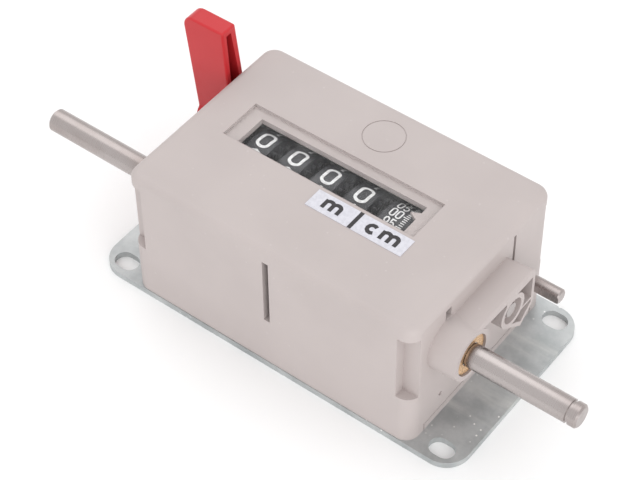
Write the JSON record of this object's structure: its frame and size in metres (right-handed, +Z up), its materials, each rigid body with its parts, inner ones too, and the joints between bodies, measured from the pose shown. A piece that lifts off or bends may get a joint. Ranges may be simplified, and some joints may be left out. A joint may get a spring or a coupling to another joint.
{
  "type": "mechanical metre counter",
  "caption": "Base-mounted mechanical length counter: box housing with number wheels under a top window, through drive shaft and a lever that resets it to zero.",
  "frame": {"origin": "centre of the four base slots, on the underside of the base plate", "axes": "+X along the drive shaft, the way the numbers read; +Y to the back, where the reset shaft is; +Z up, away from the base plate"},
  "size_m": [0.1284, 0.047, 0.0441],
  "materials": {
    "zinc_steel": "zinc plated, bluish, slightly mottled",
    "grey_plastic": "fine matte moulded plastic, warm light grey",
    "black_plastic": "satin moulded plastic, dark anthracite",
    "white_plastic": "natural acetal",
    "clear_plastic": "clear moulded pane",
    "label_stock": "white self-adhesive strip with black print",
    "steel": "ground stainless steel",
    "spring_steel": "spring steel",
    "bronze": "sintered bronze",
    "red_plastic": "glossy moulded plastic, signal red"
  },
  "bodies": {
    "root": {"base_plate": "zinc_steel", "base_screws": "zinc_steel", "bottom_frame": "grey_plastic", "housing": "grey_plastic", "window_pane": "clear_plastic", "unit_label": "label_stock", "bush_left": "bronze", "bush_right": "bronze", "wheel_axle": "steel", "axle_spacers": "white_plastic", "pinion_axle": "steel", "idler_pin": "steel", "reset_spring": "spring_steel"},
    "drive": {"drive_shaft": "steel", "shaft_clips": "spring_steel", "thrust_washers": "steel", "drive_gear": "bronze", "gear_screw": "spring_steel"},
    "idler": {"idler_gear": "white_plastic"},
    "cm": {"wheel_cm": "black_plastic", "cm_gear": "white_plastic"},
    "metre_1m": {"wheel_1m": "black_plastic"},
    "metre_10m": {"wheel_10m": "black_plastic"},
    "metre_100m": {"wheel_100m": "black_plastic"},
    "metre_1000m": {"wheel_1000m": "black_plastic"},
    "transfer_1m": {"pinion_1m": "white_plastic"},
    "transfer_10m": {"pinion_10m": "white_plastic"},
    "transfer_100m": {"pinion_100m": "white_plastic"},
    "transfer_1000m": {"pinion_1000m": "white_plastic"},
    "reset": {"reset_shaft": "steel", "comb_pin": "steel", "reset_comb": "zinc_steel", "reset_clips": "spring_steel", "reset_lever": "red_plastic"}
  },
  "joints": [
    {"name": "drive_spin", "type": "hinge", "parent": "root", "child": "drive", "pos_m": [0, -0.0127, 0.0233], "axis": [1, 0, 0], "continuous": true},
    {"name": "idler_spin", "type": "hinge", "parent": "root", "child": "idler", "pos_m": [0, -0.00866, 0.01734], "axis": [1, 0, 0], "continuous": true},
    {"name": "cm_spin", "type": "hinge", "parent": "root", "child": "cm", "pos_m": [0, 0.00095, 0.0231], "axis": [1, 0, 0], "continuous": true},
    {"name": "metre_1m_spin", "type": "hinge", "parent": "root", "child": "metre_1m", "pos_m": [0, 0.00095, 0.0231], "axis": [1, 0, 0], "continuous": true},
    {"name": "transfer_1m_spin", "type": "hinge", "parent": "root", "child": "transfer_1m", "pos_m": [0, 0.00095, 0.01302], "axis": [1, 0, 0], "continuous": true},
    {"name": "metre_10m_spin", "type": "hinge", "parent": "root", "child": "metre_10m", "pos_m": [0, 0.00095, 0.0231], "axis": [1, 0, 0], "continuous": true},
    {"name": "transfer_10m_spin", "type": "hinge", "parent": "root", "child": "transfer_10m", "pos_m": [0, 0.00095, 0.01302], "axis": [1, 0, 0], "continuous": true},
    {"name": "metre_100m_spin", "type": "hinge", "parent": "root", "child": "metre_100m", "pos_m": [0, 0.00095, 0.0231], "axis": [1, 0, 0], "continuous": true},
    {"name": "transfer_100m_spin", "type": "hinge", "parent": "root", "child": "transfer_100m", "pos_m": [0, 0.00095, 0.01302], "axis": [1, 0, 0], "continuous": true},
    {"name": "metre_1000m_spin", "type": "hinge", "parent": "root", "child": "metre_1000m", "pos_m": [0, 0.00095, 0.0231], "axis": [1, 0, 0], "continuous": true},
    {"name": "transfer_1000m_spin", "type": "hinge", "parent": "root", "child": "transfer_1000m", "pos_m": [0, 0.00095, 0.01302], "axis": [1, 0, 0], "continuous": true},
    {"name": "reset_swing", "type": "hinge", "parent": "root", "child": "reset", "pos_m": [0, 0.0138, 0.0173], "axis": [1, 0, 0], "range_deg": [0, 40], "stiffness_Nm_per_rad": 0.03, "springref_deg": -20.05}
  ],
  "couplings": [
    {"joint": "idler_spin", "follows": "drive_spin", "ratio": -1.25},
    {"joint": "cm_spin", "follows": "drive_spin", "ratio": 0.5},
    {"joint": "metre_1m_spin", "follows": "drive_spin", "ratio": 0.05},
    {"joint": "transfer_1m_spin", "follows": "drive_spin", "ratio": -0.125},
    {"joint": "metre_10m_spin", "follows": "drive_spin", "ratio": 0.005},
    {"joint": "transfer_10m_spin", "follows": "drive_spin", "ratio": -0.0125},
    {"joint": "metre_100m_spin", "follows": "drive_spin", "ratio": 0.0005},
    {"joint": "transfer_100m_spin", "follows": "drive_spin", "ratio": -0.00125},
    {"joint": "metre_1000m_spin", "follows": "drive_spin", "ratio": 0.00005},
    {"joint": "transfer_1000m_spin", "follows": "drive_spin", "ratio": -0.000125}
  ]
}
